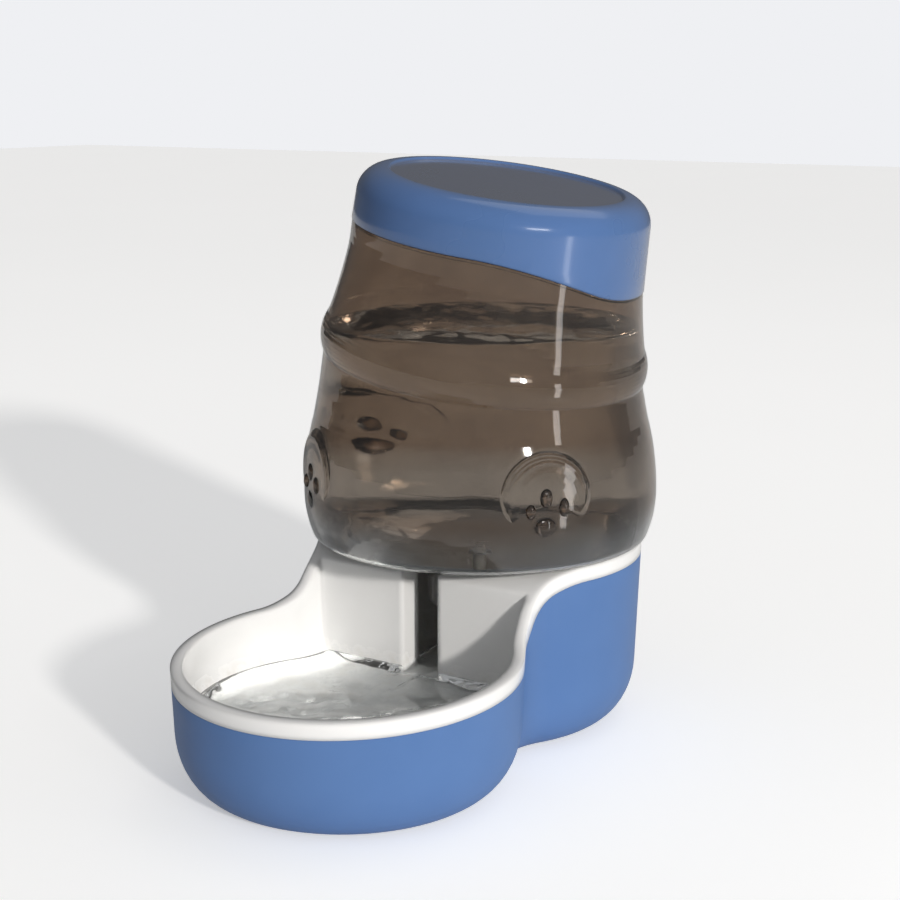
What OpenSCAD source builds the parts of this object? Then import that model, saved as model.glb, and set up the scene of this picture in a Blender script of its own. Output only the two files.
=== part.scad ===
// Gravity pet waterer: a two-lobed base, a lift-out bowl liner and a clear leaning
// bottle that stands neck down on the liner, with a spring valve in its screw cap.
// +Z up, the bowl towards -Y, the bottle towards +Y. The origin is on the floor,
// under the middle of the whole object. All sizes in millimetres.

/* [Base] */
// Radius of both lobes, taken at the height of the front rim
lobe_r = 86.7; // [70:0.1:100]
// Distance between the bowl's axis and the bottle's axis
axis_gap = 124; // [100:1:140]
// Height of the shell's top edge where the sweep begins
shell_front_z = 58.8; // [45:0.1:70]
// Height of the shell's top edge round the bottle
shell_rear_z = 92; // [80:1:110]
// Thickness of the shell's wall
shell_wall = 3; // [2:0.1:4]
// Outward lean of the shell's wall, in millimetres per millimetre of height
wall_draft = 0.037; // [0:0.001:0.06]
// Radius of the hollow fillet at the waist between the lobes
waist_r = 30; // [10:0.5:40]
// Width of the bottom rounding
bottom_round_w = 22; // [10:0.5:30]
// Height of the bottom rounding
bottom_round_h = 31.5; // [10:0.5:36]

/* [Rim sweep] */
// Lower bend of the sweep in the rim, on the shell's edge
sweep_low_r = 38; // [20:0.5:38.5]
// Upper bend of the sweep in the rim, on the shell's edge
sweep_high_r = 38; // [20:0.5:38.5]
// Steepest slope of the sweep, in degrees
sweep_angle = 55; // [45:1:55]
// Where the rear level part of the rim begins
sweep_end_y = 31; // [25:1:40]
// Fall of the front part of the rim towards its end, in millimetres per millimetre
rim_fall = 0.04; // [0:0.005:0.08]

/* [Feet] */
// Radius of a rubber foot
foot_r = 9; // [6:0.5:12]
// How far a foot stands out of the shell
foot_proud = 1; // [0.5:0.5:3]
// Sideways distance of a foot from the middle
foot_x = 38; // [30:1:45]
// Distance of a foot's middle from the shell's front or rear end
foot_from_end = 53.7; // [45:0.1:65]

/* [Bowl liner] */
// Height of the rim band
rim_t = 7.8; // [5:0.1:10]
// Gap between the liner's wall and the shell's wall
liner_gap = 0.3; // [0.2:0.05:0.6]
// Thickness of the liner's skin
liner_t = 2.6; // [2:0.1:4]
// Height of the basin's and the well's floor
basin_floor_z = 24; // [18:1:30]
// Lengthwise place of the basin's back wall
back_wall_y = 2; // [0:0.5:6]
// Inner radius of the well under the bottle
well_r = 46; // [38:1:52]
// Width of the water slot between the well and the basin
slot_w = 22; // [12:1:26]
// Height of the slot's sill
slot_sill_z = 28; // [25:1:34]
// Radius of the post that opens the valve
post_r = 4; // [3:0.5:6]
// Inner radius of the ring that the bottle rests on
seat_r = 78; // [74:0.5:79]
// Depth of the deck round the well, below the ring
deck_drop = 9.8; // [7:0.1:12]

/* [Bottle] */
// Largest radius of the bottle's belly
belly_r = 95; // [85:0.5:100]
// Height of the belly's widest place
belly_z = 125; // [115:1:135]
// Thickness of the bottle's wall
bottle_t = 1.6; // [1.2:0.1:2.5]
// Turn of the bottle on its round seat: 0 leans to the front, 90 to the side
bottle_turn = 82; // [0:1:180]
// Lean of the bottle's upper part, in degrees
lean_angle = 9.4; // [0:0.1:15]
// Height where the leaning part's axis starts
lean_z = 200; // [190:1:210]
// Sideways shift of the leaning part
lean_shift = 2.4; // [0:0.1:5]
// How far the leaning bead's crest lies inside the belly's largest radius
bead_in = 7.7; // [6:0.1:9]
// Turn of the round paw bosses from the leaning side
boss_turn = 60; // [0:1:90]
// Radius of a paw boss
boss_r = 26; // [18:0.5:30]
// Height of the middle of the bosses
boss_z = 138; // [130:1:145]
// How far a boss's face stands out past the belly's largest radius
boss_proud = -0.4; // [-0.5:0.1:2]
// Inner radius of the neck
neck_r = 21; // [18:0.5:24]
// Thickness of the neck's wall
neck_t = 2; // [1.5:0.1:3]
// Height of the neck's open end
neck_end_z = 66; // [60:1:72]
// Rise of the bottle's underside from the neck to the ring
funnel_rise = 11.8; // [8:0.1:14]

/* [Top cap] */
// Outer radius of the cap's skirt at the level of its lower edge
cap_r = 78.3; // [70:0.1:85]
// Wall of the cap
cap_t = 2.2; // [1.5:0.1:3]
// Top of the cap along its leaning axis
cap_top_s = 91; // [80:1:100]
// Radius of the cap's rounded shoulder
cap_round = 14; // [12.5:0.5:15]
// Radius of the shallow round recess in the cap's top
cap_disc_r = 60.5; // [56:0.5:62]
// Depth of the shallow round recess in the cap's top
cap_recess = 1.5; // [0.5:0.1:3]
// Lower edge of the skirt on the cap's high side, along the axis
cap_edge_high = 63.3; // [55:0.1:70]
// Lower edge of the skirt on the cap's low side, along the axis
cap_edge_low = 44.6; // [40:0.1:50]
// Turn of the skirt's low side from the leaning side, in degrees
cap_edge_turn = 28; // [0:1:45]

/* [Valve] */
// Outer radius of the screw cap's skirt
valve_cap_r = 27.6; // [26:0.1:30]
// Thickness of the screw cap's plate
valve_plate_t = 2.5; // [2:0.1:4]
// Thickness of the neck gasket
gasket_t = 2.5; // [1.5:0.1:3]
// Height of the nozzle's open end
nozzle_end_z = 44; // [36:1:50]
// Height of the stem's tip, which stands on the liner's post
stem_tip_z = 46; // [42:1:50]
// Travel of the plunger between open and closed
valve_travel = 6; // [4:0.5:8]
// Radius of the plunger's upper stem
stem_r = 2.4; // [2:0.1:3]
// Radial clearance of the stem in its guide
stem_clearance = 0.08; // [0.02:0.01:0.1]
// Turns of the spring that work
spring_turns = 4; // [3:1:7]
// Radius of the spring's wire
wire_r = 0.6; // [0.4:0.05:0.8]
// Radius from the axis to the middle of the wire
coil_r = 5.6; // [5:0.1:7]

/* [Hidden] */
$fn = 96;
big = 400;
bowl_y = -axis_gap / 2;
rear_y = axis_gap / 2;
middle_y = (belly_r - lobe_r) / 2;
shell_top_z = shell_rear_z + 40;
rim_front_z = shell_front_z + rim_t;
rim_w = shell_wall + liner_gap + liner_t;
fall_angle = atan(rim_fall);
seat_z = shell_rear_z + rim_t;
foot_y = axis_gap / 2 + lobe_r - foot_from_end;
foot_h = foot_proud + 1;
foot_sink_gap = 0.2;
fillet_x = sqrt(pow(lobe_r + waist_r, 2) - pow(axis_gap / 2, 2));

function arc(cx, cy, r, a0, a1, n) =
    [for (i = [0:n]) let (a = a0 + (a1 - a0) * i / n) [cx + r * cos(a), cy + r * sin(a)]];

// Outer radius of the lobes at a height above the bottom rounding
function lobe_at(z) = lobe_r - wall_draft * (rim_front_z - z);

// Points of the lobes' side, from the flat bottom at "low" up, drawn in by "inset"
round_end = atan(bottom_round_w / (bottom_round_h * wall_draft));
function side_points(inset, low) =
    let (w = bottom_round_w - inset / 2, h = bottom_round_h - inset / 2,
        zc = low + h,
        zj = zc - h * cos(round_end),
        rc = lobe_at(zj) - inset - w * sin(round_end))
    concat([for (i = [0:12]) let (t = round_end * i / 12) [rc + w * sin(t), zc - h * cos(t)]],
        [[lobe_at(shell_top_z) - inset, shell_top_z]]);

waist_bite = 0.05;
module lobes(inset, low = undef) {
    floor_z = is_undef(low) ? foot_proud + inset : low;
    side = side_points(inset, floor_z);
    reach = lobe_r + waist_r + waist_bite;
    top = shell_top_z;
    for (y = [bowl_y, rear_y])
        translate([0, y, 0])
            rotate_extrude()
                polygon(concat([[0, floor_z]], side, [[0, top]]));
    difference() {
        translate([0, 0, floor_z])
            linear_extrude(top - floor_z)
                polygon([[0, bowl_y], [fillet_x, 0], [0, rear_y], [-fillet_x, 0]]);
        for (x = [-fillet_x, fillet_x])
            translate([x, 0, 0])
                rotate_extrude()
                    polygon(concat([[0, floor_z - 1], [reach - side[0][0], floor_z - 1]],
                        [for (p = side) [reach - p[0], p[1]]],
                        [[reach - side[len(side) - 1][0], top + 1], [0, top + 1]]));
    }
}

// The rim's sweep seen from the side: a gentle fall, hollow bend, slope, round bend, level.
// "lift" moves the line outwards along its normal.
sweep_rise = shell_rear_z - shell_front_z - sweep_low_r * (cos(fall_angle) - cos(sweep_angle))
    - sweep_high_r * (1 - cos(sweep_angle));
sweep_slope = sweep_rise / sin(sweep_angle);
sweep_low_y = sweep_end_y - (sweep_low_r + sweep_high_r) * sin(sweep_angle) - sweep_slope * cos(sweep_angle);
function sweep_line(lift) = concat(
    arc(sweep_low_y, shell_front_z + sweep_low_r * cos(fall_angle), sweep_low_r - lift,
        fall_angle - 90, sweep_angle - 90, 10),
    arc(sweep_end_y, shell_rear_z - sweep_high_r, sweep_high_r + lift, 90 + sweep_angle, 90, 12));

module under_sweep(lift) {
    line = sweep_line(lift);
    rotate([90, 0, 90])
        linear_extrude(big, center = true)
            polygon(concat([[-big, -10], [-big, line[0][1] - (line[0][0] + big) * rim_fall]], line,
                [[big, shell_rear_z + lift], [big, -10]]));
}

module at_feet() {
    for (x = [-foot_x, foot_x], y = [-foot_y, foot_y])
        translate([x, y, 0])
            children();
}

module base_shell() {
    color("steelblue")
        difference() {
            intersection() {
                lobes(0);
                under_sweep(0);
            }
            lobes(shell_wall);
            at_feet()
                translate([0, 0, -1])
                    cylinder(r = foot_r + foot_sink_gap, h = foot_h + 1);
        }
}

module foot(x, y) {
    color("dimgray")
        translate([x, y, 0])
            rotate_extrude($fn = 48)
                polygon(concat([[0, 0]], arc(foot_r - 1, 1, 1, -90, 0, 4), [[foot_r, foot_h], [0, foot_h]]));
}

// Basin: the lobes' inner outline with a rounded floor, cut off by the back wall
module basin(out) {
    intersection() {
        lobes(rim_w - out, basin_floor_z - out);
        translate([-big / 2, back_wall_y + out - big, -10])
            cube([big, big, big]);
    }
}

// Well: a round pit about the bottle's axis, with a sloping deck up to the seat ring
well_round = 6;
deck_lip_w = 3;
deck_lip_h = 2.8;
function well_points(out) = concat(
    [[0, basin_floor_z - out]],
    arc(well_r - well_round, basin_floor_z + well_round, well_round + out, -90, 0, 5),
    [[well_r + out, seat_z - deck_drop - out], [well_r + deck_lip_w, seat_z - deck_drop - out],
    [seat_r - deck_lip_w, seat_z - deck_lip_h - out], [seat_r, seat_z - out], [seat_r, seat_z + 5],
    [0, seat_z + 5]]);

module well(out) {
    translate([0, rear_y, 0])
        rotate_extrude()
            polygon(well_points(out));
}

channel_end_y = rear_y - sqrt(pow(well_r, 2) - pow(slot_w / 2, 2)) + 1;

module slot_channel(out) {
    translate([-slot_w / 2 - out, back_wall_y - 1 + out, slot_sill_z - out])
        cube([slot_w + 2 * out, channel_end_y - back_wall_y + 1 - out, seat_z]);
}

module bowl_liner() {
    lip = 3.5;
    lip_in = shell_wall + liner_gap + 0.2;
    lip_w = 1.4;
    post_foot_w = 6;
    post_foot_h = 8;
    color("white")
        difference() {
            union() {
                intersection() {
                    union() {
                        difference() {
                            lobes(0);
                            lobes(rim_w);
                            under_sweep(0);
                        }
                        difference() {
                            lobes(rim_w - 0.1);
                            under_sweep(rim_t - liner_t);
                        }
                        basin(liner_t);
                        well(liner_t);
                        slot_channel(liner_t);
                    }
                    under_sweep(rim_t);
                }
                difference() {
                    intersection() {
                        lobes(lip_in);
                        under_sweep(0.1);
                    }
                    lobes(lip_in + lip_w);
                    under_sweep(-lip);
                }
            }
            basin(0);
            difference() {
                well(0);
                translate([0, rear_y, basin_floor_z - 1])
                    cylinder(r = post_r, h = stem_tip_z - basin_floor_z + 1, $fn = 48);
                translate([0, rear_y, basin_floor_z - 1])
                    cylinder(r1 = post_r + post_foot_w, r2 = post_r, h = post_foot_h, $fn = 48);
            }
            slot_channel(0);
        }
}

// The bottle, neck down, drawn in by "inset" for its hollow
small_arc_r = 5.2;
big_arc_r = 60;
barrel_arc_r = 150;
funnel_low_z = seat_z - funnel_rise;
funnel_low_r = neck_r + neck_t + 1;
funnel_slope = funnel_rise / (seat_r - funnel_low_r);
function funnel_z(r, inset) =
    funnel_low_z + (r - funnel_low_r) * funnel_slope + inset * sqrt(1 + funnel_slope * funnel_slope);
barrel_start = 1.5;
barrel_end = 15.5;
shoulder_rise = 36;
shoulder_draw = 7.5;
shoulder_ease = 1.6;
core_rise = 11;
function lower_body(inset) =
    let (cx = belly_r - big_arc_r,
        ca = asin((belly_z - seat_z - small_arc_r) / (big_arc_r - small_arc_r)),
        sx = cx + (big_arc_r - small_arc_r) * cos(ca),
        bx = belly_r - barrel_arc_r - inset,
        sr = bx + barrel_arc_r * cos(barrel_end),
        sz = belly_z + barrel_arc_r * sin(barrel_end),
        top = sz + shoulder_rise)
    concat(
        arc(sx, seat_z + small_arc_r, small_arc_r - inset, -90, -ca, 6),
        arc(cx, belly_z, big_arc_r - inset, -ca, 0, 8),
        arc(bx + inset, belly_z, barrel_arc_r - inset, barrel_start, barrel_end, 9),
        [for (i = [1:5]) let (k = i / 5)
            [sr - shoulder_draw * k + shoulder_ease * k * k, sz + shoulder_rise * k]],
        [[sr - shoulder_draw, top + core_rise], [0, top + core_rise]]);

module lower_solid(inset, neck_low) {
    r = inset > 0 ? neck_r : neck_r + neck_t;
    rotate_extrude()
        polygon(concat([[0, neck_low], [r, neck_low], [r, funnel_z(r, inset)],
            [seat_r - inset / 2, seat_z + inset]], lower_body(inset)));
}

// Radius of the leaning part above its bead, swelling from under the cap to the bead
bead_r = belly_r - bead_in;
bead_proud = 2.9;
bead_foot_r = bead_r - bead_proud;
upper_r = cap_r - 1.1;
upper_swell = bead_foot_r - upper_r - 0.2;
upper_swell_end = 54;
upper_swell_h = 42;
function upper_at(s) = upper_r + upper_swell * pow(max(0, (upper_swell_end - s) / upper_swell_h), 1.4);
cap_taper = 0.055;
cap_level = 50;
cap_gap = 0.3;
function cap_at(s) = cap_r - (s - cap_level) * cap_taper;
function land_at(s) = cap_at(s) - cap_t - cap_gap;
dome_s = cap_top_s - cap_recess - cap_t;
dome_round = 10.3;
dome_base = dome_s - dome_round;

module leaning() {
    rotate([0, 0, bottle_turn - 90])
        translate([lean_shift, 0, lean_z])
            rotate([0, lean_angle, 0])
                children();
}

// Seen from the side, the cap's lower edge: level, round bend, hollow bend, level
edge_round = 150;
edge_hollow = 60;
edge_angle = 23.5;
edge_start = -2;
edge_rise = cap_edge_high - cap_edge_low;
edge_slope = (edge_rise - (edge_round + edge_hollow) * (1 - cos(edge_angle))) / sin(edge_angle);
edge_end = edge_start + (edge_round + edge_hollow) * sin(edge_angle) + edge_slope * cos(edge_angle);
function edge_line(drop) = concat(
    arc(edge_start, cap_edge_high - edge_round, edge_round - drop, 90, 90 - edge_angle, 12),
    arc(edge_end, cap_edge_low + edge_hollow, edge_hollow + drop, 270 - edge_angle, 270, 8));

module under_edge(drop) {
    rotate([90, 0, cap_edge_turn])
        linear_extrude(big, center = true)
            polygon(concat([[-big, -60], [-big, cap_edge_high - drop]], edge_line(drop),
                [[big, cap_edge_low - drop], [big, -60]]));
}

bead_low = -9;
bead_high = 12;
swell_from = 16;
swell_to = 70;
module leaning_body(inset) {
    half = (bead_high - bead_low) / 2;
    round_r = (half * half + bead_proud * bead_proud) / (2 * bead_proud);
    span = asin(half / round_r);
    intersection() {
        rotate_extrude()
            polygon(concat([[0, bead_low + inset]],
                [for (p = arc(bead_r - round_r, (bead_low + bead_high) / 2, round_r, -span, span, 10))
                    [p[0] - inset, p[1] * (1 - inset / 40) + inset / 10]],
                [for (s = [swell_from:4:swell_to]) [upper_at(s) - inset, s]],
                [[0, swell_to]]));
        under_edge(0.4 + inset);
    }
}

module leaning_land(inset) {
    rotate_extrude()
        polygon(concat([[0, 20 + inset], [land_at(20) - inset, 20 + inset]],
            arc(land_at(dome_base) - dome_round, dome_base, dome_round - inset, 0, 90, 8),
            [[0, dome_s - inset]]));
}

module paw_boss(inset) {
    dome = 150;
    edge = 7;
    root = belly_r - 25;
    middle = belly_r + boss_proud - inset - dome;
    face_edge = middle + sqrt(dome * dome - pow(boss_r - edge, 2));
    rotate([0, 0, bottle_turn - 90 + boss_turn])
        for (a = [0:90:270])
            rotate([0, 0, a])
                translate([0, 0, boss_z])
                    rotate([0, 90, 0])
                        rotate_extrude($fn = 64)
                            polygon(concat([[0, root], [boss_r - inset, root]],
                                arc(boss_r - inset - edge, face_edge - edge, edge, 0, 90, 6),
                                [for (i = [5:-1:0]) let (x = (boss_r - inset - edge) * i / 6)
                                    [x, middle + sqrt(dome * dome - x * x)]]));
}

module bottle_solid(inset, neck_low) {
    lower_solid(inset, neck_low);
    paw_boss(inset);
    leaning() {
        leaning_body(inset);
        leaning_land(inset);
    }
}

module bottle() {
    color("lightgray", 0.4)
        translate([0, rear_y, 0])
            difference() {
                bottle_solid(0, neck_end_z);
                bottle_solid(bottle_t, neck_end_z - 1);
            }
}

module top_cap() {
    cap_base = cap_top_s - cap_round;
    skirt_low = cap_edge_low - 5;
    inner_round = cap_round - cap_t;
    color("steelblue")
        translate([0, rear_y, 0])
            leaning()
                difference() {
                    rotate_extrude()
                        polygon(concat([[0, skirt_low], [cap_at(skirt_low), skirt_low]],
                            arc(cap_at(cap_base) - cap_round, cap_base, cap_round, 0, 90, 12),
                            [[cap_disc_r + 1, cap_top_s], [cap_disc_r, cap_top_s - cap_recess],
                            [0, cap_top_s - cap_recess]]));
                    rotate_extrude()
                        polygon(concat([[0, skirt_low - 1], [cap_at(skirt_low - 1) - cap_t, skirt_low - 1]],
                            arc(cap_at(cap_base) - cap_t - inner_round, cap_base, inner_round,
                                0, asin((dome_s - cap_base) / inner_round), 8),
                            [[0, dome_s]]));
                    under_edge(0);
                }
}

valve_plate_top = neck_end_z - gasket_t;
valve_plate_low = valve_plate_top - valve_plate_t;
thread_gap = 1.6;
valve_cap_in = neck_r + neck_t + thread_gap;
skirt_rise = 14;
skirt_top = neck_end_z + skirt_rise;
hole_r = 8;
lip_h = 1;
lip_w = 1.4;
nozzle_r = 11.5;
nozzle_t = 2;

module valve_cap() {
    ribs = 20;
    rib_r = 0.9;
    rib_h = 13;
    edge = 1;
    color("white")
        translate([0, rear_y, 0]) {
            rotate_extrude()
                polygon([[hole_r, valve_plate_top + lip_h], [hole_r, valve_plate_low - 1],
                    [nozzle_r - nozzle_t, nozzle_end_z], [nozzle_r, nozzle_end_z],
                    [nozzle_r, valve_plate_low], [valve_cap_r - edge, valve_plate_low],
                    [valve_cap_r, valve_plate_low + edge],
                    [valve_cap_r, skirt_top], [valve_cap_in, skirt_top], [valve_cap_in, valve_plate_top],
                    [hole_r + lip_w + 1, valve_plate_top], [hole_r + lip_w, valve_plate_top + lip_h]]);
            for (i = [0:ribs - 1])
                rotate([0, 0, i * 360 / ribs])
                    translate([valve_cap_r, 0, valve_plate_low + edge + 2])
                        cylinder(r = rib_r, h = rib_h, $fn = 16);
        }
}

module neck_gasket() {
    inner_w = 2.5;
    color("dimgray")
        translate([0, rear_y, valve_plate_top])
            difference() {
                cylinder(r = neck_r + neck_t, h = gasket_t);
                translate([0, 0, -1])
                    cylinder(r = neck_r - inner_w, h = gasket_t + 2);
            }
}

seal_t = 2;
seal_r = 11.5;
disc_t = 2.5;
disc_r = 12;
lower_stem_r = 3;
groove = 0.5;
clip_t = 1;
clip_play = 0.05;
spring_space = 13;
seal_low = valve_plate_top + lip_h + valve_travel;
disc_low = seal_low + seal_t;
disc_top = disc_low + disc_t;
spoke_low = disc_top + spring_space;
spoke_t = 3;
hub_rise = 4;
hub_top = spoke_low + hub_rise;
hub_r = stem_r + 1.8;
clip_rest = 1.5;
clip_z = hub_top + valve_travel + clip_rest;

module valve_cage() {
    ring_t = 2.4;
    ring_h = 4;
    ring_z = neck_end_z + 2;
    hub_drop = 5;
    color("white")
        translate([0, rear_y, 0]) {
            difference() {
                translate([0, 0, ring_z])
                    cylinder(r = neck_r, h = ring_h);
                translate([0, 0, ring_z - 1])
                    cylinder(r = neck_r - ring_t, h = ring_h + 2);
            }
            difference() {
                union() {
                    translate([0, 0, spoke_low - hub_drop])
                        cylinder(r = hub_r, h = hub_top - spoke_low + hub_drop, $fn = 48);
                    for (a = [0, 120, 240])
                        rotate([0, 0, a])
                            translate([0, -spoke_t / 2, 0]) {
                                translate([0, 0, spoke_low])
                                    cube([neck_r - 1, spoke_t, spoke_t]);
                                translate([neck_r - 1 - ring_t, 0, ring_z + ring_h / 2])
                                    cube([ring_t, spoke_t, spoke_low + spoke_t - ring_z - ring_h / 2]);
                            }
                }
                translate([0, 0, spoke_low - hub_drop - 1])
                    cylinder(r = stem_r + stem_clearance, h = hub_top - spoke_low + hub_drop + 2, $fn = 48);
            }
        }
}

module valve_plunger() {
    collar_r = 5;
    collar_t = 1.2;
    tip = 1;
    stem_top = clip_z + 3;
    groove_top = clip_z + clip_t + 2 * clip_play;
    color("gainsboro")
        translate([0, rear_y, 0])
            rotate_extrude($fn = 64)
                polygon([[0, stem_tip_z], [lower_stem_r - tip, stem_tip_z],
                    [lower_stem_r, stem_tip_z + tip], [lower_stem_r, seal_low - collar_t],
                    [collar_r, seal_low - collar_t], [collar_r, seal_low],
                    [lower_stem_r, seal_low], [lower_stem_r, disc_low],
                    [disc_r, disc_low], [disc_r, disc_top], [stem_r, disc_top], [stem_r, clip_z],
                    [stem_r - groove, clip_z], [stem_r - groove, groove_top],
                    [stem_r, groove_top], [stem_r, stem_top - tip], [stem_r - tip, stem_top], [0, stem_top]]);
}

module plunger_seal() {
    color("dimgray")
        translate([0, rear_y, seal_low])
            difference() {
                cylinder(r = seal_r, h = seal_t);
                translate([0, 0, -1])
                    cylinder(r = lower_stem_r, h = seal_t + 2, $fn = 64);
            }
}

module stem_clip() {
    mouth = 2.8;
    clip_r = stem_r + 2.2;
    color("silver")
        translate([0, rear_y, clip_z + clip_play])
            difference() {
                cylinder(r = clip_r, h = clip_t, $fn = 48);
                translate([0, 0, -1])
                    cylinder(r = stem_r - groove, h = clip_t + 2, $fn = 48);
                translate([0, -mouth / 2, -1])
                    cube([clip_r + 1, mouth, clip_t + 2]);
            }
}

// The spring's wire: one tube that winds round the stem, with closed end turns
rings_per_turn = 8;
wire_sides = 6;
end_turns = 1;
all_turns = spring_turns + 2 * end_turns;
spring_low = disc_top + wire_r;
spring_high = spoke_low - wire_r;
end_rise = 2 * wire_r + 0.5;
mid_pitch = (spring_high - spring_low - 2 * end_turns * end_rise) / spring_turns;
function coil_z(t) =
    t < end_turns ? spring_low + t * end_rise :
    t < end_turns + spring_turns ? spring_low + end_turns * end_rise + (t - end_turns) * mid_pitch :
    spring_high - (all_turns - t) * end_rise;
turn_steps = all_turns * rings_per_turn;
function coil_point(i) =
    let (t = i / rings_per_turn)
    [coil_r * cos(360 * t), coil_r * sin(360 * t), coil_z(t)];
function unit(v) = v / norm(v);
first_way = unit(coil_point(1) - coil_point(0));
last_way = unit(coil_point(turn_steps) - coil_point(turn_steps - 1));
wire_path = concat([coil_point(0) - [0, 2 * wire_r, 0]],
    [for (i = [0:turn_steps]) coil_point(i)],
    [coil_point(turn_steps) + [0, 2 * wire_r, 0]]);
wire_len = len(wire_path);
function wire_way(i) =
    i == 0 ? unit(wire_path[1] - wire_path[0]) :
    i == wire_len - 1 ? unit(wire_path[i] - wire_path[i - 1]) :
    unit(wire_path[i + 1] - wire_path[i - 1]);
function wire_ring(i) =
    let (p = wire_path[i], w = wire_way(i), side = unit(cross(w, [0, 0, 1])), up = cross(side, w))
    [for (k = [0:wire_sides - 1]) let (a = 360 * k / wire_sides)
        p + wire_r * (cos(a) * side + sin(a) * up)];
wire_gaps = [for (i = [0:turn_steps], j = [0:turn_steps]) if (j - i >= rings_per_turn / 2)
    norm(coil_point(i) - coil_point(j)) - 2 * wire_r];
echo(least_gap_of_wire = min(wire_gaps));

module valve_spring() {
    rings = [for (i = [0:wire_len - 1]) each wire_ring(i)];
    n = wire_sides;
    last = (wire_len - 1) * n;
    color("silver")
        translate([0, rear_y, 0])
            polyhedron(points = rings, faces = concat(
                [for (k = [1:n - 2]) [0, k, k + 1]],
                [for (i = [0:wire_len - 2], k = [0:n - 1])
                    [i * n + k, (i + 1) * n + k, (i + 1) * n + (k + 1) % n]],
                [for (i = [0:wire_len - 2], k = [0:n - 1])
                    [i * n + k, (i + 1) * n + (k + 1) % n, i * n + (k + 1) % n]],
                [for (k = [1:n - 2]) [last, last + k + 1, last + k]]), convexity = 6);
}

// The origin lies under the middle of the whole object, not under the waist
module placed() {
    translate([0, -middle_y, 0])
        children();
}

placed() base_shell();
placed() foot(-foot_x, -foot_y);  // foot_front_left
placed() foot(foot_x, -foot_y);  // foot_front_right
placed() foot(-foot_x, foot_y);  // foot_rear_left
placed() foot(foot_x, foot_y);  // foot_rear_right
placed() bowl_liner();
placed() bottle();
placed() top_cap();
placed() neck_gasket();
placed() valve_cap();
placed() valve_cage();
placed() valve_plunger();
placed() plunger_seal();
placed() valve_spring();
placed() stem_clip();
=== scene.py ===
import math

import bpy
from mathutils import Matrix, Vector, noise
from mathutils.bvhtree import BVHTree


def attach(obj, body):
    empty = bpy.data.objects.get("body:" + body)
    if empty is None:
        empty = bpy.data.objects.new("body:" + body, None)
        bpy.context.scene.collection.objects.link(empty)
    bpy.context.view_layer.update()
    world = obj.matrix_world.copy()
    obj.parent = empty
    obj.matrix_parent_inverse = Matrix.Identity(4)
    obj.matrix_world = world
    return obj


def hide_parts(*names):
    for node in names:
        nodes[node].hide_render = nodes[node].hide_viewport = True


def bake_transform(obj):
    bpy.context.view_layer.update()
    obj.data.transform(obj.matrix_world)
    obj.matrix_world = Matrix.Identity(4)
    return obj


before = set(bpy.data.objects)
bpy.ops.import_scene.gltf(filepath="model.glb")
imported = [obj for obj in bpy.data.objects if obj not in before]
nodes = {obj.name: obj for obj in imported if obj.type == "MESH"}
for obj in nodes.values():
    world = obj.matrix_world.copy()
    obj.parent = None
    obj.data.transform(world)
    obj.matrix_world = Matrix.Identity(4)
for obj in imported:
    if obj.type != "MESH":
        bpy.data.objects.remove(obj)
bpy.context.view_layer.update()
print("stage: frame loaded,", len(nodes), "nodes")

bowlAxis = Vector((0, -0.06615, 0))    # the drinking bowl's axis
bottleAxis = Vector((0, 0.05785, 0))   # the bottle's and the valve's axis
leanAxis = Vector((0.161738, -0.022731, 0.986572))   # the upper bottle's and the cap's axis
leanStart = bottleAxis + Vector((0.002377, -0.000334, 0.2))


def mm(value):
    return value / 1000


def perMm(size):
    return 1000 / size  # noise scale on Object coordinates for features this many millimetres across


def toLinear(hexText):
    channels = [int(hexText[i:i + 2], 16) / 255 for i in (1, 3, 5)]
    return [c / 12.92 if c <= 0.04045 else ((c + 0.055) / 1.055) ** 2.4 for c in channels] + [1.0]


def addNode(tree, kind, inputs=None, **settings):
    node = tree.nodes.new(kind)
    for name, value in settings.items():
        setattr(node, name, value)
    for name, value in (inputs or {}).items():
        if isinstance(value, bpy.types.NodeSocket):
            tree.links.new(value, node.inputs[name])
        else:
            node.inputs[name].default_value = value
    return node


def newMaterial(name):
    material = bpy.data.materials.new(name)
    material.use_nodes = True
    tree = material.node_tree
    shader = tree.nodes["Principled BSDF"]
    place = addNode(tree, "ShaderNodeTexCoord").outputs["Object"]
    return material, tree, shader, place


def mixColours(tree, factor, first, second):
    node = addNode(tree, "ShaderNodeMix", data_type="RGBA")
    for socket, value in ((node.inputs[0], factor), (node.inputs[6], first), (node.inputs[7], second)):
        if isinstance(value, bpy.types.NodeSocket):
            tree.links.new(value, socket)
        else:
            socket.default_value = value
    return node.outputs[2]


def mapRange(tree, value, low, high, outLow=0.0, outHigh=1.0):
    return addNode(tree, "ShaderNodeMapRange", {"Value": value, "From Min": low, "From Max": high,
                                                "To Min": outLow, "To Max": outHigh}).outputs["Result"]


def meshPiece(name, points, faces, material, body, smooth=True):
    mesh = bpy.data.meshes.new(name)
    mesh.from_pydata([tuple(p) for p in points], [], faces)
    mesh.update()
    return keepPiece(name, mesh, material, body, smooth)


def keepPiece(name, mesh, material, body, smooth=True):
    piece = bpy.data.objects.new(name, mesh)
    bpy.context.scene.collection.objects.link(piece)
    if smooth:
        mesh.polygons.foreach_set("use_smooth", [True] * len(mesh.polygons))
    mesh.materials.clear()
    mesh.materials.append(material)
    if body:
        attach(piece, body)
    return piece


def dress(nodeName, material):
    nodes[nodeName].data.materials.clear()
    nodes[nodeName].data.materials.append(material)


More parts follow.
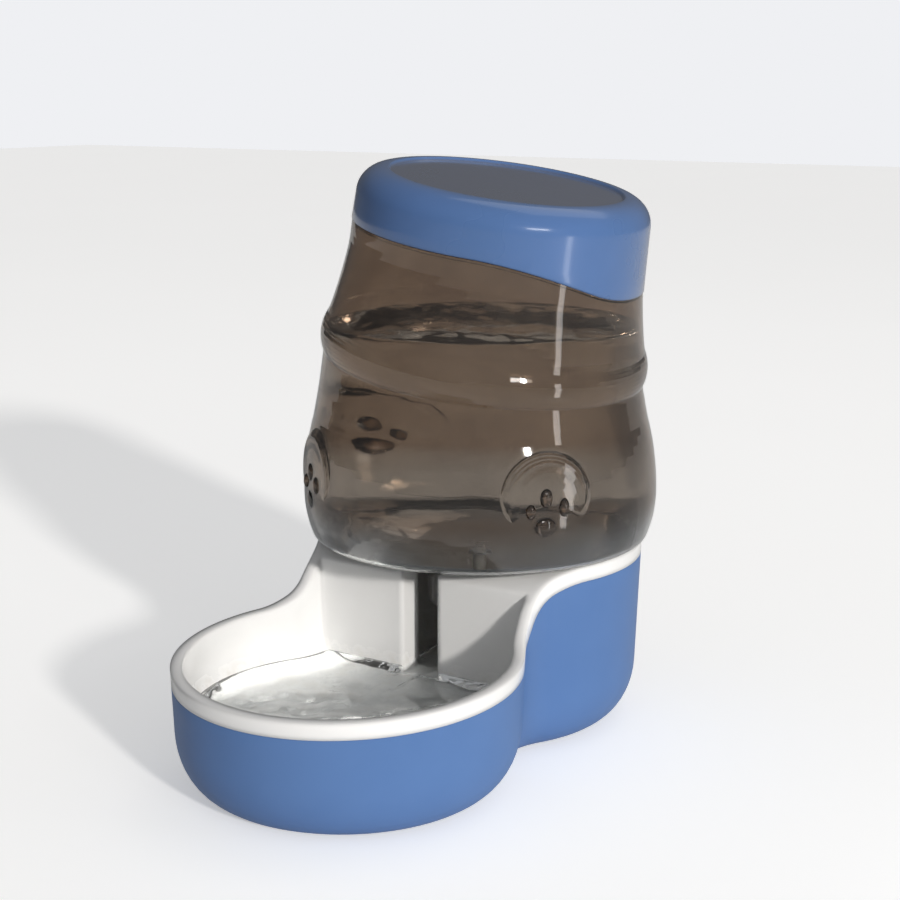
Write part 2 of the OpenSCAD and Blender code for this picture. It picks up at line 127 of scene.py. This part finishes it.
def mouldedPlastic(name, look):
    # injection moulded thermoplastic: even colour, a soft sheen, faint flow marks and a fine orange peel
    material, tree, shader, place = newMaterial(name)
    flow = addNode(tree, "ShaderNodeTexNoise", {"Vector": place, "Scale": perMm(look["flowSize"]),
                                                "Detail": 3.0, "Roughness": 0.55})
    fine = addNode(tree, "ShaderNodeTexNoise", {"Vector": place, "Scale": perMm(look["grainSize"]),
                                                "Detail": 4.0, "Roughness": 0.6})
    shade = mapRange(tree, flow.outputs["Fac"], 0.35, 0.65)
    colour = mixColours(tree, shade, toLinear(look["dark"]), toLinear(look["light"]))
    tree.links.new(colour, shader.inputs["Base Color"])
    gloss = mapRange(tree, flow.outputs["Fac"], 0.3, 0.7, look["roughLow"], look["roughHigh"])
    tree.links.new(gloss, shader.inputs["Roughness"])
    shader.inputs["IOR"].default_value = look["ior"]
    shader.inputs["Coat Weight"].default_value = look["coat"]
    shader.inputs["Coat Roughness"].default_value = 0.12
    edge = addNode(tree, "ShaderNodeBevel", {"Radius": mm(look["edge"])}, samples=6)
    bump = addNode(tree, "ShaderNodeBump", {"Height": fine.outputs["Fac"], "Strength": look["bump"],
                                            "Distance": mm(0.05), "Normal": edge.outputs[0]})
    tree.links.new(bump.outputs["Normal"], shader.inputs["Normal"])
    return material


blueShellLook = {
    "light": "#587bb0", "dark": "#5376ab", "flowSize": 55, "grainSize": 0.9,
    "roughLow": 0.42, "roughHigh": 0.5, "ior": 1.45, "coat": 0.0, "bump": 0.25, "edge": 1.2,
}
blueCapLook = {
    "light": "#4d70a6", "dark": "#486b9f", "flowSize": 60, "grainSize": 0.9,
    "roughLow": 0.26, "roughHigh": 0.32, "ior": 1.47, "coat": 1.0, "bump": 0.08, "edge": 1.5,
}
whiteValveLook = {
    "light": "#eeeeeb", "dark": "#e6e6e3", "flowSize": 18, "grainSize": 0.7,
    "roughLow": 0.34, "roughHigh": 0.42, "ior": 1.48, "coat": 0.0, "bump": 0.2, "edge": 0.5,
}
shellPlastic = mouldedPlastic("blueMouldedPolypropylene", blueShellLook)
capPlastic = mouldedPlastic("blueGlossMouldedAbs", blueCapLook)
# painted reflection: a grey colour on the cap's recessed disc that stands in for the sky reflected there
capRecessPaintedReflection = {"radius": 60.3, "fade": 0.8, "above": 86, "colour": "#5a5c68", "share": 0.8}


def paintRecessReflection(material, look):
    # painted reflection: the recess in the cap's top gets a greyer colour that stands in for the sky
    # reflected there; it is found along the cap's leaning axis
    tree = material.node_tree
    shader = tree.nodes["Principled BSDF"]
    place = addNode(tree, "ShaderNodeTexCoord").outputs["Object"]
    axis = tuple(leanAxis)
    local = addNode(tree, "ShaderNodeVectorMath", {0: place, 1: tuple(leanStart)}, operation="SUBTRACT")
    along = addNode(tree, "ShaderNodeVectorMath", {0: local.outputs[0], 1: axis}, operation="DOT_PRODUCT")
    aside = addNode(tree, "ShaderNodeVectorMath", {0: local.outputs[0], 1: axis}, operation="CROSS_PRODUCT")
    radius = addNode(tree, "ShaderNodeVectorMath", {0: aside.outputs[0]}, operation="LENGTH")
    inside = mapRange(tree, radius.outputs["Value"], mm(look["radius"] + look["fade"]), mm(look["radius"]))
    high = mapRange(tree, along.outputs["Value"], mm(look["above"]), mm(look["above"] + 1),
                    0.0, look["share"])
    share = addNode(tree, "ShaderNodeMath", {0: inside, 1: high}, operation="MULTIPLY").outputs[0]
    before = shader.inputs["Base Color"].links[0].from_socket
    tree.links.new(mixColours(tree, share, before, toLinear(look["colour"])), shader.inputs["Base Color"])


paintRecessReflection(capPlastic, capRecessPaintedReflection)
valvePlastic = mouldedPlastic("whiteMouldedAcetal", whiteValveLook)

linerLook = {
    "white": "#f6f6f5", "shade": "#f0f0ef", "film": "#d9d6cf", "waterLine": 40.5, "filmHeight": 5.0,
    "filmShare": 0.5, "filmRough": 0.35, "flowSize": 70, "filmSize": 9, "roughness": 0.26,
    "ior": 1.53, "coat": 0.25, "coatRough": 0.08, "bump": 0.15, "edge": 4.5,
}


def linerMaterial():
    # glossy white ABS; hard water has left a thin chalky film just above the water line in the bowl
    material, tree, shader, place = newMaterial("whiteGlossMouldedAbs")
    look = linerLook
    flow = addNode(tree, "ShaderNodeTexNoise", {"Vector": place, "Scale": perMm(look["flowSize"]),
                                                "Detail": 3.0})
    spots = addNode(tree, "ShaderNodeTexNoise", {"Vector": place, "Scale": perMm(look["filmSize"]),
                                                 "Detail": 5.0, "Roughness": 0.65})
    height = addNode(tree, "ShaderNodeSeparateXYZ", {"Vector": place}).outputs["Z"]
    above = mapRange(tree, height, mm(look["waterLine"] + look["filmHeight"]), mm(look["waterLine"]))
    patchy = mapRange(tree, spots.outputs["Fac"], 0.45, 0.7)
    film = addNode(tree, "ShaderNodeMath", {0: above, 1: patchy}, operation="MULTIPLY").outputs[0]
    shade = mapRange(tree, flow.outputs["Fac"], 0.35, 0.65)
    plain = mixColours(tree, shade, toLinear(look["shade"]), toLinear(look["white"]))
    share = addNode(tree, "ShaderNodeMath", {0: film, 1: look["filmShare"]}, operation="MULTIPLY")
    colour = mixColours(tree, share.outputs[0], plain, toLinear(look["film"]))
    tree.links.new(colour, shader.inputs["Base Color"])
    gloss = addNode(tree, "ShaderNodeMath", {0: film, 1: look["filmRough"], 2: look["roughness"]},
                    operation="MULTIPLY_ADD")
    tree.links.new(gloss.outputs[0], shader.inputs["Roughness"])
    shader.inputs["IOR"].default_value = look["ior"]
    shader.inputs["Coat Weight"].default_value = look["coat"]
    shader.inputs["Coat Roughness"].default_value = look["coatRough"]
    edge = addNode(tree, "ShaderNodeBevel", {"Radius": mm(look["edge"])}, samples=12)
    bump = addNode(tree, "ShaderNodeBump", {"Height": flow.outputs["Fac"], "Strength": look["bump"],
                                            "Distance": mm(0.3), "Normal": edge.outputs[0]})
    tree.links.new(bump.outputs["Normal"], shader.inputs["Normal"])
    return material


whiteLiner = linerMaterial()

# the tint colours are a painted backdrop: brown seen through the clear bottle, not a tint of the plastic
petLook = {
    "tint": "#c3b2a2", "deeperBackdrop": "#b7a697", "foot": "#dcdedf", "footLow": 112, "footHigh": 126,
    "waveSize": 34, "roughness": 0.04, "ior": 1.57, "bump": 0.25,
}


def petMaterial():
    # stretch blown PET: clear and glassy, with slow waves where the wall drew thin; the brown tint above
    # the foot is a painted backdrop, standing in for a brown background seen through the clear bottle, and
    # the foot is left clear
    material, tree, shader, place = newMaterial("clearBlownPetPaintedBackdropTint")
    look = petLook
    wave = addNode(tree, "ShaderNodeTexNoise", {"Vector": place, "Scale": perMm(look["waveSize"]),
                                                "Detail": 2.0, "Roughness": 0.4})
    shade = mapRange(tree, wave.outputs["Fac"], 0.35, 0.65)
    # painted backdrop: this brown mix stands in for a brown background seen through the clear bottle
    smoke = mixColours(tree, shade, toLinear(look["deeperBackdrop"]), toLinear(look["tint"]))
    height = addNode(tree, "ShaderNodeSeparateXYZ", {"Vector": place}).outputs["Z"]
    clear = mapRange(tree, height, mm(look["footHigh"]), mm(look["footLow"]))
    colour = mixColours(tree, clear, smoke, toLinear(look["foot"]))
    tree.links.new(colour, shader.inputs["Base Color"])
    shader.inputs["Transmission Weight"].default_value = 1.0
    shader.inputs["Roughness"].default_value = look["roughness"]
    shader.inputs["IOR"].default_value = look["ior"]
    bump = addNode(tree, "ShaderNodeBump", {"Height": wave.outputs["Fac"], "Strength": look["bump"],
                                            "Distance": mm(1.5)})
    tree.links.new(bump.outputs["Normal"], shader.inputs["Normal"])
    return material


petWithPaintedBackdrop = petMaterial()


def waterMaterial(name, tint, rippleSize, rippleDepth):
    # still, clear water: hardly any tint, with slow ripples
    material, tree, shader, place = newMaterial(name)
    ripple = addNode(tree, "ShaderNodeTexNoise", {"Vector": place, "Scale": perMm(rippleSize),
                                                  "Detail": 2.0})
    colour = mixColours(tree, ripple.outputs["Fac"], toLinear(tint), toLinear("#f6f8f8"))
    tree.links.new(colour, shader.inputs["Base Color"])
    shader.inputs["Transmission Weight"].default_value = 1.0
    shader.inputs["Roughness"].default_value = 0.0
    shader.inputs["IOR"].default_value = 1.333
    bump = addNode(tree, "ShaderNodeBump", {"Height": ripple.outputs["Fac"], "Strength": 0.5,
                                            "Distance": mm(rippleDepth)})
    tree.links.new(bump.outputs["Normal"], shader.inputs["Normal"])
    return material


bottleWater = waterMaterial("bottleWater", "#eef1f0", 14, 0.4)
bowlWater = waterMaterial("bowlWater", "#fafcfc", 24, 4.0)


def rubberMaterial(name, colourHex):
    # moulded nitrile rubber: matte, slightly grey where dust sits in its fine pitting
    material, tree, shader, place = newMaterial(name)
    pits = addNode(tree, "ShaderNodeTexNoise", {"Vector": place, "Scale": perMm(0.8), "Detail": 5.0})
    dust = addNode(tree, "ShaderNodeTexNoise", {"Vector": place, "Scale": perMm(6), "Detail": 3.0})
    shade = mapRange(tree, dust.outputs["Fac"], 0.45, 0.8, 0.0, 0.35)
    colour = mixColours(tree, shade, toLinear(colourHex), toLinear("#6b6965"))
    tree.links.new(colour, shader.inputs["Base Color"])
    shader.inputs["Roughness"].default_value = 0.72
    bump = addNode(tree, "ShaderNodeBump", {"Height": pits.outputs["Fac"], "Strength": 0.4,
                                            "Distance": mm(0.08)})
    tree.links.new(bump.outputs["Normal"], shader.inputs["Normal"])
    return material


footRubber = rubberMaterial("greyMouldedRubber", "#3a3a3c")
sealRubber = rubberMaterial("blackNitrileRubber", "#232324")


def steelMaterial():
    # drawn stainless wire: bright, with fine draw marks
    material, tree, shader, place = newMaterial("drawnStainlessWire")
    marks = addNode(tree, "ShaderNodeTexNoise", {"Vector": place, "Scale": perMm(0.5), "Detail": 3.0})
    colour = mixColours(tree, marks.outputs["Fac"], toLinear("#b9babd"), toLinear("#d4d5d8"))
    tree.links.new(colour, shader.inputs["Base Color"])
    shader.inputs["Metallic"].default_value = 1.0
    gloss = mapRange(tree, marks.outputs["Fac"], 0.3, 0.7, 0.2, 0.34)
    tree.links.new(gloss, shader.inputs["Roughness"])
    return material


springSteel = steelMaterial()

for nodeName, material in {
    "base_shell": shellPlastic, "bowl_liner": whiteLiner, "bottle": petWithPaintedBackdrop, "top_cap": capPlastic,
    "valve_cap": valvePlastic, "valve_cage": valvePlastic, "valve_plunger": valvePlastic,
    "neck_gasket": sealRubber, "plunger_seal": sealRubber, "stem_clip": springSteel,
    "foot_front_left": footRubber, "foot_front_right": footRubber,
    "foot_rear_left": footRubber, "foot_rear_right": footRubber,
}.items():
    dress(nodeName, material)


def softEdges(nodeName, width, segments=3):
    # moulded edges are never sharp: weld the shading seams, then round what is left of the sharp edges
    piece = nodes[nodeName]
    weld = piece.modifiers.new("weld", "WELD")
    weld.merge_threshold = mm(0.01)
    bevel = piece.modifiers.new("softEdge", "BEVEL")
    bevel.width = mm(width)
    bevel.segments = segments
    bevel.limit_method = "ANGLE"
    bevel.angle_limit = math.radians(38)
    bevel.use_clamp_overlap = True


softEdges("bowl_liner", 0.8)
softEdges("base_shell", 0.5, 2)
softEdges("top_cap", 0.5, 2)
print("stage: materials on the solids")


def solidTree(nodeName):
    mesh = nodes[nodeName].data
    return BVHTree.FromPolygons([v.co for v in mesh.vertices], [tuple(p.vertices) for p in mesh.polygons])


def swell(look):
    # slow swell and short chop on the water's surface
    long, short = look["swellSize"], look["chopSize"]

    def wave(p):
        slow = noise.noise(Vector((p.x / mm(long), p.y / mm(long * 0.7), 3.1)))
        quick = noise.noise(Vector((p.x / mm(short), p.y / mm(short), 7.7)))
        return mm(look["swell"]) * slow + mm(look["chop"]) * quick
    return wave


def steps(low, high, count):
    return [mm(low + (high - low) * i / (count - 1)) for i in range(count)]


def pool(name, nodeName, axis, look, material, body):
    # a body of water that fills a hollow: rays from the axis find the wall at each level and angle
    solid, wave, gap = solidTree(nodeName), swell(look), mm(look["gap"])
    angles, rings, start, widest = 144, 26, mm(11), mm(100)
    levels = [z for low, high, count in look["levels"] for z in steps(low, high, count)]
    points, faces, rims = [], [], []
    for z in levels:
        rim = []
        for i in range(angles):
            way = Vector((math.cos(2 * math.pi * i / angles), math.sin(2 * math.pi * i / angles), 0))
            source = Vector((axis.x, axis.y, z)) + way * start
            found = solid.ray_cast(source, way, widest)
            reach = (found[0] - source).length if found[0] else widest
            rim.append(start + reach - gap)
        rims.append(rim)
        points += [Vector((axis.x + r * math.cos(2 * math.pi * i / angles),
                           axis.y + r * math.sin(2 * math.pi * i / angles), z)) for i, r in enumerate(rim)]
    for k in range(len(levels) - 1):
        for i in range(angles):
            a, b = k * angles + i, k * angles + (i + 1) % angles
            faces.append((a, b, b + angles, a + angles))
    below = len(points)
    points.append(Vector((axis.x, axis.y, levels[0])))
    faces += [((i + 1) % angles, i, below) for i in range(angles)]
    last = (len(levels) - 1) * angles
    previous = [last + i for i in range(angles)]
    for k in range(1, rings):
        share = 1 - k / rings
        ring = []
        for i in range(angles):
            r = rims[-1][i] * share
            p = Vector((axis.x + r * math.cos(2 * math.pi * i / angles),
                        axis.y + r * math.sin(2 * math.pi * i / angles), levels[-1]))
            p.z += wave(p) * min(1, (1 - share) * 8)
            ring.append(len(points))
            points.append(p)
        faces += [(previous[i], previous[(i + 1) % angles], ring[(i + 1) % angles], ring[i])
                  for i in range(angles)]
        previous = ring
    middle = len(points)
    top = Vector((axis.x, axis.y, levels[-1]))
    top.z += wave(top)
    points.append(top)
    faces += [(previous[i], previous[(i + 1) % angles], middle) for i in range(angles)]
    return meshPiece(name, points, faces, material, body)


# levels: lowest, highest and number of rings of each stretch of the wall
bottleWaterSize = {
    "levels": [(66.6, 88, 4), (90, 101, 7), (102.5, 215, 46)], "gap": 0.25,
    "swell": 2.6, "swellSize": 26, "chop": 1.5, "chopSize": 9,
}
bowlWaterSize = {
    "levels": [(24.4, 38.6, 9)], "gap": 0.15, "swell": 1.8, "swellSize": 20, "chop": 0.6, "chopSize": 8,
}
pool("bottle_water", "bottle", bottleAxis, bottleWaterSize, bottleWater, "bottle_body")
bowlPool = pool("bowl_water", "bowl_liner", bowlAxis, bowlWaterSize, bowlWater, "liner")
bowlPool.visible_shadow = False   # light reaches the bowl's floor through the water
print("stage: water")


def newTree(name, sockets):
    tree = bpy.data.node_groups.new(name, "GeometryNodeTree")
    tree.interface.new_socket("Geometry", in_out="OUTPUT", socket_type="NodeSocketGeometry")
    for label, kind, value in sockets:
        tree.interface.new_socket(label, in_out="INPUT", socket_type=kind).default_value = value
    return tree, tree.nodes.new("NodeGroupInput").outputs


def finishTree(tree, geometry, material):
    real = addNode(tree, "GeometryNodeRealizeInstances", {"Geometry": geometry})
    painted = addNode(tree, "GeometryNodeSetMaterial", {"Geometry": real.outputs[0], "Material": material})
    addNode(tree, "NodeGroupOutput", {0: painted.outputs[0]})


def bakeTree(name, tree, values, material, body):
    host = bpy.data.objects.new(name + "_maker", bpy.data.meshes.new(name + "_maker"))
    bpy.context.scene.collection.objects.link(host)
    modifier = host.modifiers.new("maker", "NODES")
    modifier.node_group = tree
    for item in tree.interface.items_tree:
        if item.in_out == "INPUT" and item.name in values:
            modifier[item.identifier] = values[item.name]
    evaluated = host.evaluated_get(bpy.context.evaluated_depsgraph_get())
    mesh = bpy.data.meshes.new_from_object(evaluated)
    mesh.name = name
    host.modifiers.remove(modifier)
    bpy.data.objects.remove(host)
    return keepPiece(name, mesh, material, body)


helixSockets = [("Turns", "NodeSocketFloat", 1.5), ("Radius", "NodeSocketFloat", 0.02),
                ("Height", "NodeSocketFloat", 0.006), ("Thickness", "NodeSocketFloat", 0.001),
                ("Steps", "NodeSocketInt", 120), ("Sides", "NodeSocketInt", 12),
                ("Centre", "NodeSocketVector", (0.0, 0.0, 0.0))]


def helixTree(name, material):
    # a round ridge that climbs round an axis: the threads
    tree, given = newTree(name, helixSockets)
    spiral = addNode(tree, "GeometryNodeCurveSpiral", {
        "Resolution": given["Steps"], "Rotations": given["Turns"], "Start Radius": given["Radius"],
        "End Radius": given["Radius"], "Height": given["Height"]})
    ring = addNode(tree, "GeometryNodeCurvePrimitiveCircle", {
        "Resolution": given["Sides"], "Radius": given["Thickness"]})
    tube = addNode(tree, "GeometryNodeCurveToMesh", {
        "Curve": spiral.outputs[0], "Profile Curve": ring.outputs[0], "Fill Caps": True})
    moved = addNode(tree, "GeometryNodeTransform", {
        "Geometry": tube.outputs[0], "Translation": given["Centre"]})
    finishTree(tree, moved.outputs[0], material)
    return tree


neckThread = {"Turns": 1.75, "Radius": mm(23.0), "Height": mm(6.2), "Thickness": mm(0.75), "Steps": 110,
              "Centre": (0.0, bottleAxis.y, mm(68.5))}
capThread = {"Turns": 1.75, "Radius": mm(24.65), "Height": mm(6.2), "Thickness": mm(0.7), "Steps": 110,
             "Centre": (0.0, bottleAxis.y, mm(70.3))}
bakeTree("neck_thread", helixTree("neckThreadTree", petWithPaintedBackdrop), neckThread, petWithPaintedBackdrop, "bottle_body")
bakeTree("cap_thread", helixTree("capThreadTree", valvePlastic), capThread, valvePlastic, "screw_cap")

pawLook = {
    "turn": 52.0, "face": 94.6, "height": 138.0, "sink": 0.5,
    "toes": [(-9.2, -4.4, 2.6, 3.8), (-1.0, 1.9, 3.3, 4.9), (8.6, -3.4, 2.8, 4.8)],
    "pad": (-1.4, -12.6, 5.8, 5.0), "proud": 1.9,
}


def pawTree(name, material):
    # four raised paw prints, one on each round boss: pads are squashed domes set on points
    tree, given = newTree(name, [("Face", "NodeSocketFloat", 0.095), ("Proud", "NodeSocketFloat", 0.0015),
                                 ("Turn", "NodeSocketFloat", 0.9), ("Height", "NodeSocketFloat", 0.138),
                                 ("Count", "NodeSocketInt", 4)])
    parts = []
    for across, up, wide, tall in pawLook["toes"] + [pawLook["pad"]]:
        ball = addNode(tree, "GeometryNodeMeshUVSphere", {"Segments": 28, "Rings": 16, "Radius": 1.0})
        size = addNode(tree, "ShaderNodeCombineXYZ", {"X": given["Proud"], "Y": mm(wide), "Z": mm(tall)})
        place = addNode(tree, "ShaderNodeCombineXYZ", {"X": given["Face"], "Y": mm(across), "Z": mm(up)})
        turned = addNode(tree, "GeometryNodeTransform", {
            "Geometry": ball.outputs["Mesh"], "Scale": size.outputs[0], "Translation": place.outputs[0]})
        parts.append(turned.outputs[0])
    pawPrint = addNode(tree, "GeometryNodeJoinGeometry")
    for part in parts:
        tree.links.new(part, pawPrint.inputs[0])
    raised = addNode(tree, "ShaderNodeCombineXYZ", {"Z": given["Height"]})
    whole = addNode(tree, "GeometryNodeTransform", {
        "Geometry": pawPrint.outputs[0], "Translation": raised.outputs[0]})
    line = addNode(tree, "GeometryNodeMeshLine", {"Count": given["Count"], "Offset": (0.0, 0.0, 0.0)})
    index = addNode(tree, "GeometryNodeInputIndex")
    angle = addNode(tree, "ShaderNodeMath", {0: index.outputs[0], 1: math.pi / 2, 2: given["Turn"]},
                    operation="MULTIPLY_ADD")
    spin = addNode(tree, "ShaderNodeCombineXYZ", {"Z": angle.outputs[0]})
    copies = addNode(tree, "GeometryNodeInstanceOnPoints", {
        "Points": line.outputs[0], "Instance": whole.outputs[0], "Rotation": spin.outputs[0]})
    finishTree(tree, copies.outputs[0], material)
    return tree


paws = bakeTree("paw_prints", pawTree("pawPrintTree", petWithPaintedBackdrop), {
    "Face": mm(pawLook["face"] - pawLook["sink"]), "Proud": mm(pawLook["proud"]),
    "Turn": math.radians(pawLook["turn"]), "Height": mm(pawLook["height"])}, petWithPaintedBackdrop, None)
paws.data.transform(Matrix.Translation(bottleAxis))
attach(paws, "bottle_body")

springSize = {"turns": 4, "wire": 0.6, "coil": 5.6, "low": 75.0, "high": 88.0, "closed": 1.7}


def springPiece():
    # the return spring with closed ends, as one smooth wire
    size, sides, perTurn = springSize, 12, 28
    total = size["turns"] + 2
    low, high = size["low"] + size["wire"], size["high"] - size["wire"]
    pitch = (high - low - 2 * size["closed"]) / size["turns"]
    path = []
    for i in range(total * perTurn + 1):
        t = i / perTurn
        if t < 1:
            z = low + t * size["closed"]
        elif t < 1 + size["turns"]:
            z = low + size["closed"] + (t - 1) * pitch
        else:
            z = high - (total - t) * size["closed"]
        turn = 2 * math.pi * t
        path.append(Vector((size["coil"] * math.cos(turn), size["coil"] * math.sin(turn), z)))
    points, faces = [], []
    for i, p in enumerate(path):
        way = (path[min(i + 1, len(path) - 1)] - path[max(i - 1, 0)]).normalized()
        side = way.cross(Vector((0, 0, 1))).normalized()
        up = side.cross(way)
        points += [(p + size["wire"] * (math.cos(a) * side + math.sin(a) * up)) / 1000 + bottleAxis
                   for a in (2 * math.pi * k / sides for k in range(sides))]
    for i in range(len(path) - 1):
        for k in range(sides):
            a, b = i * sides + k, i * sides + (k + 1) % sides
            faces.append((a, a + sides, b + sides, b))
    last = (len(path) - 1) * sides
    faces += [tuple(range(sides)), tuple(last + k for k in reversed(range(sides)))]
    return meshPiece("return_spring", points, faces, springSteel, None)


spring = springPiece()
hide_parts("valve_spring")
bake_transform(spring)
print("stage: threads, paw prints and spring")


def floorMaterial():
    # pale paper, made brighter for the camera alone so that it does not light the part
    material, tree, shader, place = newMaterial("matteStudioPaper")
    tone = addNode(tree, "ShaderNodeTexNoise", {"Vector": place, "Scale": perMm(400), "Detail": 2.0})
    colour = mixColours(tree, tone.outputs["Fac"], toLinear("#f1f1f0"), toLinear("#f5f5f4"))
    tree.links.new(colour, shader.inputs["Base Color"])
    shader.inputs["Roughness"].default_value = 0.8
    seen = addNode(tree, "ShaderNodeLightPath").outputs["Is Camera Ray"]
    shader.inputs["Emission Color"].default_value = (1.0, 1.0, 1.0, 1.0)
    tree.links.new(mapRange(tree, seen, 0.0, 1.0, 0.0, 0.4), shader.inputs["Emission Strength"])
    return material


floor = meshPiece("studio_floor", [(-6, -6, 0), (6, -6, 0), (6, 6, 0), (-6, 6, 0)], [(0, 1, 2, 3)],
                  floorMaterial(), None, smooth=False)

# the room is dimmer on the left of the part; the camera itself sees one even tone
world = bpy.data.worlds.new("paleStudio")
bpy.context.scene.world = world
world.use_nodes = True
backdrop = world.node_tree.nodes["Background"]
backdrop.inputs["Color"].default_value = toLinear("#eff0f3")
roomLight = {"bright": 0.4, "dim": 0.1, "from": (0.8, -0.35, 0.5)}
room = world.node_tree
skyWay = addNode(room, "ShaderNodeTexCoord").outputs["Generated"]
side = addNode(room, "ShaderNodeVectorMath", {0: skyWay, 1: roomLight["from"]}, operation="DOT_PRODUCT")
light = mapRange(room, side.outputs["Value"], -0.8, 0.8, roomLight["dim"], roomLight["bright"])
seen = addNode(room, "ShaderNodeLightPath").outputs["Is Camera Ray"]
strength = addNode(room, "ShaderNodeMath", {0: light, 1: seen}, operation="MAXIMUM")
room.links.new(strength.outputs[0], backdrop.inputs["Strength"])


def sunLight(name, aim, softness, strength, colourHex):
    light = bpy.data.lights.new(name, "SUN")
    light.angle = math.radians(softness)
    light.energy = strength
    light.color = toLinear(colourHex)[:3]
    lamp = bpy.data.objects.new(name, light)
    bpy.context.scene.collection.objects.link(lamp)
    lamp.rotation_mode = "QUATERNION"
    lamp.rotation_quaternion = Vector(aim).to_track_quat("-Z", "Y")
    return lamp


def areaLight(name, place, target, size, power, colourHex):
    light = bpy.data.lights.new(name, "AREA")
    light.shape = "RECTANGLE"
    light.size, light.size_y = size
    light.energy = power
    light.color = toLinear(colourHex)[:3]
    lamp = bpy.data.objects.new(name, light)
    bpy.context.scene.collection.objects.link(lamp)
    lamp.location = place
    lamp.rotation_mode = "QUATERNION"
    lamp.rotation_quaternion = (Vector(target) - Vector(place)).to_track_quat("-Z", "Y")
    return lamp


keySun = sunLight("keySun", (-1.9, 1.0, -0.68), 4, 2.35, "#fffbf6")
keySun.visible_glossy = False   # the panels below stand for what shows in the glossy faces
areaLight("windowPanel", (1.25, -0.66, 0.7), (0, 0, 0.2), (0.42, 0.12), 1.6, "#ffffff")
areaLight("stripSoftbox", (0.46, -0.03, 0.13), (0, 0.058, 0.16), (0.035, 0.24), 0.09, "#ffffff")
areaLight("topSoftbox", (0.2, 0.9, 1.9), (0, 0, 0.1), (1.4, 1.4), 3, "#ffffff")

cameraView = {
    "sensor": 36, "lens": 68.77, "place": (0.4698, -0.71875, 0.34136), "turn": 32.198, "rise": 12.209,
}
lens = bpy.data.cameras.new("photoCamera")
lens.sensor_width = cameraView["sensor"]
lens.lens = cameraView["lens"]
camera = bpy.data.objects.new("photoCamera", lens)
bpy.context.scene.collection.objects.link(camera)
viewTurn, viewRise = math.radians(cameraView["turn"]), math.radians(cameraView["rise"])
back = Vector((math.sin(viewTurn) * math.cos(viewRise), -math.cos(viewTurn) * math.cos(viewRise),
               math.sin(viewRise)))
right = Vector((math.cos(viewTurn), math.sin(viewTurn), 0))
up = back.cross(right)
camera.matrix_world = (Matrix.Translation(cameraView["place"])
                       @ Matrix((right, up, back)).transposed().to_4x4())
bpy.context.scene.camera = camera
bpy.context.scene.view_settings.view_transform = "Standard"
print("stage: floor, light and camera")
